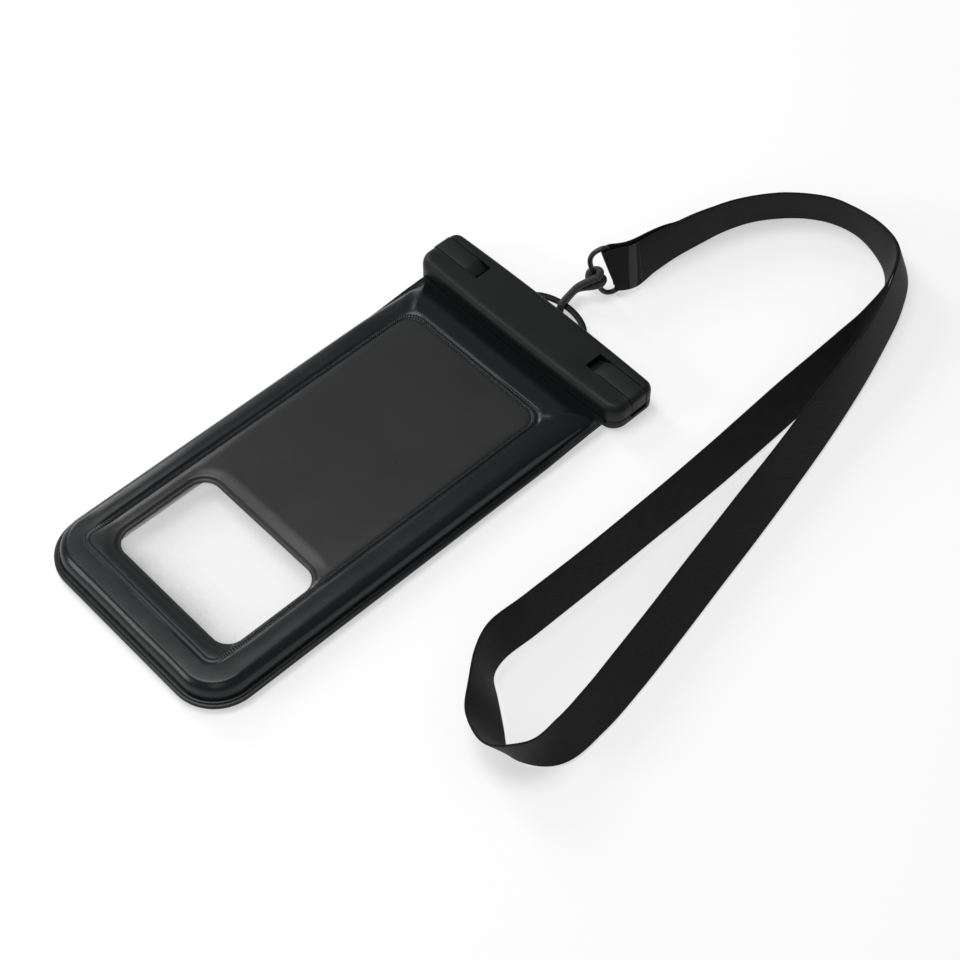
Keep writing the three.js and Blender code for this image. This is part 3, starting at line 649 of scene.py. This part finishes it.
PANEL_SHIFT = -0.9  # the panel lies a little to the left of the pouch's middle
SHIFT_ENDS = (170, 190)
BORDER_FLAT = 11.2
WINDOW_LEDGE = 9.9
WINDOW_STEP = 0.75
FOLD = ((36, 181), (50, 199.5))  # from the panel's far corner to the clip's end
RISE = 34  # the length over which the border goes over into its height at the mouth
SIDE_STEPS = 64
END_STEPS = 36
CORNER_STEPS = 14
PANEL_GRID = 1.5
WINDOW_RINGS = (0.5, 1.0, 1.35, 1.7, 2.05, 2.4, 3.2, 4.2)  # rings of points round the window
WINDOW_SPACING = 1.4
GRID_FROM = 16.6  # the panel's points start this far in from the pouch's edge, on the grid and on the rings
RINGS_FROM = 16.2
FILM_THICK = 0.6


def ring_outline(side, mouth):
    """Points round one set-in outline, the same count for every ring."""
    half = POUCH_HALF - side
    near = min(max(POUCH_CORNER - side, 2.5), half)
    far = min(0.4 + mouth * 0.3, 7.0, half)
    return round_box(-half, half, side, TONGUE_END - mouth, near, far, CORNER_STEPS, SIDE_STEPS, END_STEPS)


def window_distance(x, y):
    """Distance outside the window opening, negative inside it."""
    x0, x1, y0, y1 = WINDOW
    cx, cy = (x0 + x1) / 2, (y0 + y1) / 2
    qx = abs(x - cx) - (x1 - x0) / 2 + WINDOW_CORNER
    qy = abs(y - cy) - (y1 - y0) / 2 + WINDOW_CORNER
    return math.hypot(max(qx, 0), max(qy, 0)) + min(max(qx, qy), 0) - WINDOW_CORNER


# Each row: set in by side, by mouth, height along the sides, height at the mouth.
BACK_RINGS = [
    (0, 0, 3.7, 5.5), (0.9, 6, 3.75, 5.5), (1.8, 12, 3.7, 5.5), (2.2, 12.8, 3.9, 5.5),
    (2.4, 14, 5.2, 5.7), (2.7, 15.6, 7.1, 6.3), (3.3, 17.8, 8.9, 7.4), (4.3, 20, 10.1, 8.6),
    (5.6, 22.4, 10.85, 9.6), (7.4, 25, 11.25, 10.4), (9.6, 27.8, 11.4, 10.9), (11.6, 29.6, 11.25, 11),
    (12.7, 30.6, 11.0, 10.9), (13.3, 31.2, 10.6, 10.6), (13.7, 31.6, 10.45, 10.45),
    (14.1, 32, 10.75, 10.75), (14.5, 32.5, 10.85, 10.85), (14.9, 33, 10.75, 10.75),
    (15.3, 33.4, 10.4, 10.4), (15.8, 34, 10.55, 10.55),
]
BEAD_RING = (14.5, 32.5)
INNER_SIDE, INNER_MOUTH = BACK_RINGS[-1][:2]
PANEL_HEIGHTS = ((15.8, 10.55), (16.8, 10.8), (19, 11), (24, 11.15), (31, 11.25), (53, 11.3))


def fold_height(x, y, sign):
    """Height of the soft fold on one side of the panel: a crest with a dip beside it."""
    (ax, ay), (bx, by) = FOLD
    ax, bx = ax * sign, bx * sign
    dx, dy = bx - ax, by - ay
    t = ((x - ax) * dx + (y - ay) * dy) / (dx * dx + dy * dy)
    off = ((x - ax) * dy - (y - ay) * dx) / math.hypot(dx, dy)
    along = smoothstep(t, -0.1, 0.35) * (1 - smoothstep(t, 0.85, 1.05))
    return along * (0.55 * math.exp(-(off / 1.5) ** 2) - 0.35 * math.exp(-((off - 3.4 * sign) / 1.8) ** 2))


def panel_height(x, y, z, side):
    """The back film's height: the profile's z, changed below and round the window, with waves and folds."""
    # Below the window the border runs on almost flat to the window's edge.
    low = (1 - smoothstep(y, 17, 30)) * smoothstep(side, 4.6, 6.4)
    z += (BORDER_FLAT - z) * 0.85 * low
    d = window_distance(x, y)
    if side > 13 and d < 7:
        step = WINDOW_LEDGE + WINDOW_STEP * smoothstep(d, 1.0, 2.4)
        z = step + (z - step) * smoothstep(d, 2.4, 6.6)
    crest = smoothstep(side, 2.6, 5) * (1 - smoothstep(side, 12.6, 13.4))
    inner = smoothstep(side, 16, 20)
    wide = noise.noise(Vector((x * 0.035, y * 0.03, 1.7)))
    small = noise.noise(Vector((x * 0.11, y * 0.09, 4.1)))
    z += crest * (0.22 * wide + 0.08 * small) + inner * (0.18 * wide + 0.04 * small)
    return z + fold_height(x, y, -1) + fold_height(x, y, 1)


def panel_shift(y):
    """The panel's shift to the side, which fades out towards the clip."""
    return PANEL_SHIFT * (1 - smoothstep(y, *SHIFT_ENDS))


def panel_side(x, y):
    """How far inside the pouch's outline a point of the panel lies."""
    return min(POUCH_HALF - abs(x - panel_shift(y)), y, TONGUE_END - y - (INNER_MOUTH - INNER_SIDE))


def around_window(off):
    """Evenly spaced points round the window opening, grown by off."""
    x0, x1, y0, y1 = WINDOW
    radius = WINDOW_CORNER + off
    corners = round_box(x0 - off, x1 + off, y0 - off, y1 + off, radius, radius, 14)
    points = []
    for a, b in zip(corners, corners[1:] + corners[:1]):
        steps = max(1, round(math.dist(a, b) / WINDOW_SPACING))
        for k in range(steps):
            points.append((a[0] + (b[0] - a[0]) * k / steps, a[1] + (b[1] - a[1]) * k / steps))
    return points


def fill_panel(points, uvs, faces, first, count):
    """Triangles from the innermost ring of the loft in to the window opening."""
    opening = around_window(0)
    loop = [Vector((points[first + i][0], points[first + i][1] + CENTRE_Y)) for i in range(count)]
    flat = loop + [Vector(p) for p in opening]
    for gy in np.arange(17.0, 180.0, PANEL_GRID):
        for gx in np.arange(-38.0, 38.0, PANEL_GRID):
            if panel_side(gx, gy) > GRID_FROM and window_distance(gx, gy) > WINDOW_RINGS[-1] + 1:
                flat.append(Vector((gx, gy)))
    for off in WINDOW_RINGS:
        flat += [Vector(p) for p in around_window(off) if panel_side(*p) > RINGS_FROM]
    hole = list(range(count, count + len(opening)))
    verts, _, tris, origins, _, _ = delaunay_2d_cdt(flat, [], [list(range(count)), hole], 1, 1e-5)
    index = {}
    for i, (vert, origin) in enumerate(zip(verts, origins)):
        ringed = [o for o in origin if o < count]
        if ringed:
            index[i] = first + ringed[0]
            continue
        x, y = vert
        side = panel_side(x, y)
        z = float(np.interp(side, *zip(*PANEL_HEIGHTS)))
        index[i] = len(points)
        points.append((x, y - CENTRE_Y, panel_height(x, y, z, side)))
        uvs.append((side * MM, y * MM))
    for tri in tris:
        cx = sum(verts[i][0] for i in tri) / 3
        cy = sum(verts[i][1] for i in tri) / 3
        if window_distance(cx, cy) > 0:
            faces.append(tuple(index[i] for i in tri))


def film_mesh(name, rings, per, relief, mat, closed):
    """Lofts rings with a smooth profile between them."""
    profile = catmull(rings, per, closed)
    beads = ring_outline(*BEAD_RING)
    run = [0.0]
    for a, b in zip(beads, beads[1:]):
        run.append(run[-1] + math.dist(a, b))
    points, uvs = [], []
    for side, mouth, z, mouth_z in profile:
        end = min(TONGUE_END - mouth - 2, MOUTH_Y - 1.5)
        for i, (x, y) in enumerate(ring_outline(side, mouth)):
            height = z + (mouth_z - z) * smoothstep(y, end - RISE, end)
            if relief:
                height = panel_height(x, y, height, side)
                x += panel_shift(y) * smoothstep(side, 8, 13)
            points.append((x, y - CENTRE_Y, max(height, 0.0)))
            uvs.append((side * MM, run[i] * MM))
    faces = loft_faces(len(profile), len(beads), closed)
    if not closed:
        fill_panel(points, uvs, faces, (len(profile) - 1) * len(beads), len(beads))
    return make(name, points, faces, mat, uvs=uvs)


back = film_mesh("back_film", BACK_RINGS, 4, True, BLACK_PVC, False)
thick = back.modifiers.new("thick", "SOLIDIFY")
thick.thickness = FILM_THICK * MM
thick.offset = -1.0
apply_modifiers(back)
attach(back, "root")
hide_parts("back_sheet", "border_cushion")

FRONT_RINGS = [
    (17, 40, 0.05, 0.05), (11, 32, 0, 0), (6.2, 27, 0.02, 0.02), (4.2, 20, 0.5, 1.8), (2.6, 14, 1.8, 3.6),
    (1.2, 7, 1.95, 3.7), (0, 0, 2.0, 3.75), (-0.1, 0, 2.5, 3.95), (0, 0, 3.0, 4.2), (1.2, 7, 3.1, 4.25),
    (2.6, 13, 3.0, 4.2), (4.6, 20, 1.6, 2.8), (6.6, 27, 0.95, 0.95), (11, 32, 0.9, 0.9), (17, 40, 0.85, 0.85),
]
front = film_mesh("front_film", FRONT_RINGS, 3, False, BLACK_PVC, True)
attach(front, "root")
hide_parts("front_frame")


def clear_plate(name, outline, z, thickness, sag, mat):
    """A clear film with a slight sag, drawn as a fan of set-in outlines."""
    cx = sum(x for x, _ in outline) / len(outline)
    cy = sum(y for _, y in outline) / len(outline) - CENTRE_Y
    n = len(outline)
    steps = 14
    points = []
    for s in range(steps):
        k = 1 - s / steps
        for x, y in outline:
            px, py = cx + (x - cx) * k, cy + (y - CENTRE_Y - cy) * k
            bow = -sag * (1 - k * k) + 0.08 * noise.noise(Vector((px * 0.06, py * 0.06, 2.2)))
            points.append((px, py, z + bow))
    points.append((cx, cy, z - sag))
    faces = loft_faces(steps, n)
    last = (steps - 1) * n
    faces += [(last + i, last + (i + 1) % n, len(points) - 1) for i in range(n)]
    obj = make(name, points, faces, mat)
    mod = obj.modifiers.new("thick", "SOLIDIFY")
    mod.thickness = thickness * MM
    mod.offset = -1.0
    apply_modifiers(obj)
    return obj


window_outline = round_box(*WINDOW_FILM, 9.5, 9.5, 10)
film = clear_plate("window_film", window_outline, z=9.35, thickness=0.4, sag=0.5, mat=CLEAR)
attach(film, "root")
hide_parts("camera_window")
screen_outline = round_box(*SCREEN_FILM, 8, 5, 10)
screen = clear_plate("screen_film", screen_outline, z=1.9, thickness=0.4, sag=0.3, mat=SCREEN)
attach(screen, "root")
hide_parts("front_screen")

# Clip

CLIP_HALF = 58.2
CLIP_NEAR = 201.7
CLIP_FAR = 225.3
CLIP_TOP = 13.3
CLIP_BOW = 0.9
CLIP_NEAR_ROUND = 7.0
CLIP_FAR_ROUND = 4.5
PIN_X = 55.6
PIN_Z = 6.2
LATCH_Y = (211.9, 219.9)
LATCH_TIP = 34.2
LATCH_GAP = 0.3  # room round the levers and the ears
LATCH_ROUND = 2.6  # the lever's radius round its pin and at its top corner
LATCH_UNDER = 10.1
LATCH_SCOOP = 5.2
LATCH_EDGE = 0.35
PIN_BORE = 0.95
NOTCH_Y = (LATCH_Y[0] - LATCH_GAP, LATCH_Y[1] + LATCH_GAP)
NOTCH_Z = (9.8, 15)
NOTCH_START = 32.0
KNUCKLE_START = 52.6
KNUCKLE_Z = (4, 11)
PAST_END = 62  # past the clip's end, for cuts that run out of it
EAR_Y = (209.1, 220.4)
EAR_WIDE = 2.3
EAR_HALF = 1.5
EAR_LOW = 4.2
EAR_ROOM = (208.8, 223.1, 4, 8)
TONGUE_ROOM = (-53.4, 53.4, 190, 215)
TONGUE_TOP = 5.8
TONGUE_UNDER = 3.4
SEAL_ROOM = (-51, 51, 206.2, 208.8, 4, 7.7)
LUG_HALF = 18.0
LUG_REACH = 11.5
LUG_ROOT = 223.7
LUG_WIDTH = 2.6
LUG_Z = (3.25, 5.0)


def clip_outline(inset):
    """The clip's plan, bowed a little along both long edges."""
    half = CLIP_HALF - inset
    near, far = max(CLIP_NEAR_ROUND - inset, 0.6), max(CLIP_FAR_ROUND - inset, 0.6)
    return round_box(-half, half, CLIP_NEAR + inset, CLIP_FAR - inset, near, far, 12, 4, 30, CLIP_BOW)


def clip_half(name, levels):
    """A solid from the clip's outline stacked upwards: each level is (inset, height)."""
    points = [(x, y - CENTRE_Y, z) for inset, z in levels for x, y in clip_outline(inset)]
    n = len(points) // len(levels)
    last = len(points) - n
    faces = loft_faces(len(levels), n)
    faces += [tuple(range(n - 1, -1, -1)), tuple(range(last, last + n))]
    return make(name, points, faces, SHELL, angle=35)


def box(name, x0, x1, y0, y1, z0, z1):
    outline = [(x0, y0), (x1, y0), (x1, y1), (x0, y1)]
    points = [(x, y - CENTRE_Y, z) for z in (z0, z1) for x, y in outline]
    return make(name, points, [(3, 2, 1, 0), (4, 5, 6, 7)] + loft_faces(2, 4), SHELL, angle=30)


def side_cut(side, x0, x1, *rest):
    """A box to cut with on one side of the clip, x0 to x1 from its middle."""
    low, high = sorted((side * x0, side * x1))
    return box("cut", low, high, *rest)


def drawn_across(name, profile, y0, y1, angle=None):
    """A solid from an outline in X and Z, drawn along Y."""
    n = len(profile)
    points = [(x, y - CENTRE_Y, z) for y in (y0, y1) for x, z in profile]
    faces = [tuple(range(n)), tuple(range(2 * n - 1, n - 1, -1))]
    faces += [(k, n + k, n + (k + 1) % n, (k + 1) % n) for k in range(n)]
    return make(name, points, faces, SHELL, angle=angle)


def rod(name, x, z, radius, y0, y1, sides=32):
    turns = [2 * math.pi * k / sides for k in range(sides)]
    circle = [(x + radius * math.cos(a), z + radius * math.sin(a)) for a in turns]
    return drawn_across(name, circle, y0, y1, angle=35)


upper = clip_half("clip_top", [
    (0.35, 5.3), (0.06, 5.55), (0, 5.9), (0, 9.6), (0.12, 10.6), (0.45, 11.6), (1.0, 12.4), (1.8, 13.0),
    (2.7, CLIP_TOP - 0.05), (3.6, CLIP_TOP), (5.5, CLIP_TOP)])
cuts = []
for side in (-1, 1):
    cuts.append(side_cut(side, NOTCH_START, PAST_END, *NOTCH_Y, *NOTCH_Z))
    cuts.append(side_cut(side, KNUCKLE_START, PAST_END, *NOTCH_Y, *KNUCKLE_Z))
    cuts.append(side_cut(side, PIN_X - EAR_HALF - LATCH_GAP, PIN_X + EAR_HALF + LATCH_GAP, *EAR_ROOM))
cuts.append(box("cut", *TONGUE_ROOM, 4, TONGUE_TOP))
cuts.append(box("cut", *SEAL_ROOM))
carve(upper, cuts, 35)
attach(upper, "root")
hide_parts("clip_upper_jaw")

lower = clip_half("clip_bottom", [
    (2.2, 0), (1.3, 0.12), (0.6, 0.5), (0.15, 1.2), (0, 2), (0, 4.4), (0.06, 4.75), (0.35, 5.0)])
cuts = [box("cut", *TONGUE_ROOM, TONGUE_UNDER, 8)]
for side in (-1, 1):
    cuts.append(side_cut(side, KNUCKLE_START, PAST_END, *NOTCH_Y, 3.2, 8))
carve(lower, cuts, 35)
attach(lower, "root")
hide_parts("clip_lower_jaw")


def lug_piece():
    """The strap lug: a flattened arch on the clip's far edge."""
    z0, z1 = LUG_Z
    section = []
    for k in range(20):
        a = 2 * math.pi * k / 20
        section.append((LUG_WIDTH / 2 * squared(math.cos(a)), (z1 - z0) / 2 * squared(math.sin(a))))
    points = []
    steps = 60
    for i in range(steps + 1):
        a = math.pi * i / steps
        x = (LUG_HALF - LUG_WIDTH / 2) * math.cos(a)
        y = LUG_ROOT + (LUG_REACH - LUG_WIDTH / 2) * math.sin(a)
        out = Vector((math.cos(a) / LUG_HALF, math.sin(a) / LUG_REACH)).normalized()
        for u, z in section:
            points.append((x + u * out.x, y + u * out.y - CENTRE_Y, (z0 + z1) / 2 + z))
    n = len(section)
    faces = loft_faces(steps + 1, n)
    faces += [tuple(range(n)), tuple(range(steps * n + n - 1, steps * n - 1, -1))]
    return make("clip_lug", points, faces, SHELL, angle=40)


lug = lug_piece()
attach(lug, "root")
ears = []
for side in (-1, 1):
    for y in EAR_Y:
        x = side * PIN_X
        ears.append(box("ear", x - EAR_HALF, x + EAR_HALF, y, y + EAR_WIDE, EAR_LOW, PIN_Z))
        ears.append(rod("ear_cap", x, PIN_Z, EAR_HALF, y, y + EAR_WIDE))
for i, ear in enumerate(ears):
    ear.name = f"clip_ear_{i}"
    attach(ear, "root")


def latch(side):
    """Lever with a scooped tip, its edges rounded a little."""
    top, under = CLIP_TOP + 0.1, LATCH_UNDER
    profile = [(LATCH_TIP, under), (LATCH_TIP, under + 0.6)]
    for i in range(1, 11):
        t = i / 10
        x = LATCH_TIP + LATCH_SCOOP * t
        z = (1 - t) ** 2 * (under + 0.6) + 2 * t * (1 - t) * (top - 0.9) + t * t * top
        profile.append((x, z))
    for i in range(9):
        a = math.pi / 2 * (1 - i / 8)
        profile.append((CLIP_HALF - LATCH_ROUND * (1 - math.cos(a)), top - LATCH_ROUND * (1 - math.sin(a))))
    for i in range(17):
        a = -math.pi * i / 16
        profile.append((PIN_X + LATCH_ROUND * math.cos(a), PIN_Z + LATCH_ROUND * math.sin(a)))
    profile.append((PIN_X - LATCH_ROUND, under))
    y0, y1 = LATCH_Y
    obj = drawn_across("latch", [(side * x, z) for x, z in profile], y0, y1)
    carve(obj, [rod("hole", side * PIN_X, PIN_Z, PIN_BORE, y0 - 2, y1 + 2)])
    mod = obj.modifiers.new("edges", "BEVEL")
    mod.width = LATCH_EDGE * MM
    mod.segments = 3
    mod.limit_method = "ANGLE"
    mod.angle_limit = math.radians(40)
    apply_modifiers(obj)
    obj.data.set_sharp_from_angle(angle=math.radians(40))
    return obj


for side, name in ((1, "right"), (-1, "left")):
    lever = latch(side)
    lever.name = f"lever_{name}"
    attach(lever, f"latch_{name}")
    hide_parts(f"latch_{name}")

for name, mat in (("latch_pin_left", STEEL), ("latch_pin_right", STEEL), ("clip_seal", RUBBER)):
    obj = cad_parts[name]
    obj.data.materials.clear()
    obj.data.materials.append(mat)

# Floor and light

FLOOR_HALF = 6
WORLD_STRENGTH = 0.3

corners = [(-FLOOR_HALF, -FLOOR_HALF, 0), (FLOOR_HALF, -FLOOR_HALF, 0),
           (FLOOR_HALF, FLOOR_HALF, 0), (-FLOOR_HALF, FLOOR_HALF, 0)]
floor_mesh = bpy.data.meshes.new("floor")
floor_mesh.from_pydata(corners, [], [(0, 1, 2, 3)])
floor = bpy.data.objects.new("floor", floor_mesh)
floor.location.z = -0.2 * MM
bpy.context.scene.collection.objects.link(floor)
floor_mesh.materials.append(PLATE)

world = bpy.data.worlds.new("world")
world.use_nodes = True
world.node_tree.nodes["Background"].inputs["Color"].default_value = (1, 1, 1, 1)
world.node_tree.nodes["Background"].inputs["Strength"].default_value = WORLD_STRENGTH
bpy.context.scene.world = world


def area_light(name, at, aim, size, watts):
    data = bpy.data.lights.new(name, "AREA")
    data.shape = "RECTANGLE"
    data.size, data.size_y = size
    data.energy = watts
    obj = bpy.data.objects.new(name, data)
    obj.location = at
    obj.rotation_euler = (Vector(aim) - Vector(at)).to_track_quat("-Z", "Y").to_euler()
    bpy.context.scene.collection.objects.link(obj)


area_light("key", (-0.38, -0.08, 1.57), (0, 0, 0), (0.8, 0.8), 13.5)
area_light("front", (0.75, -0.75, 1.0), (0.05, 0, 0), (0.5, 0.5), 1.5)
area_light("low", (-0.52, -0.96, 0.5), (0, 0, 0), (0.5, 0.2), 3.5)
area_light("left", (-1.05, 0.15, 0.6), (0, 0, 0), (0.3, 0.6), 5)
bpy.context.scene.view_settings.view_transform = "Standard"
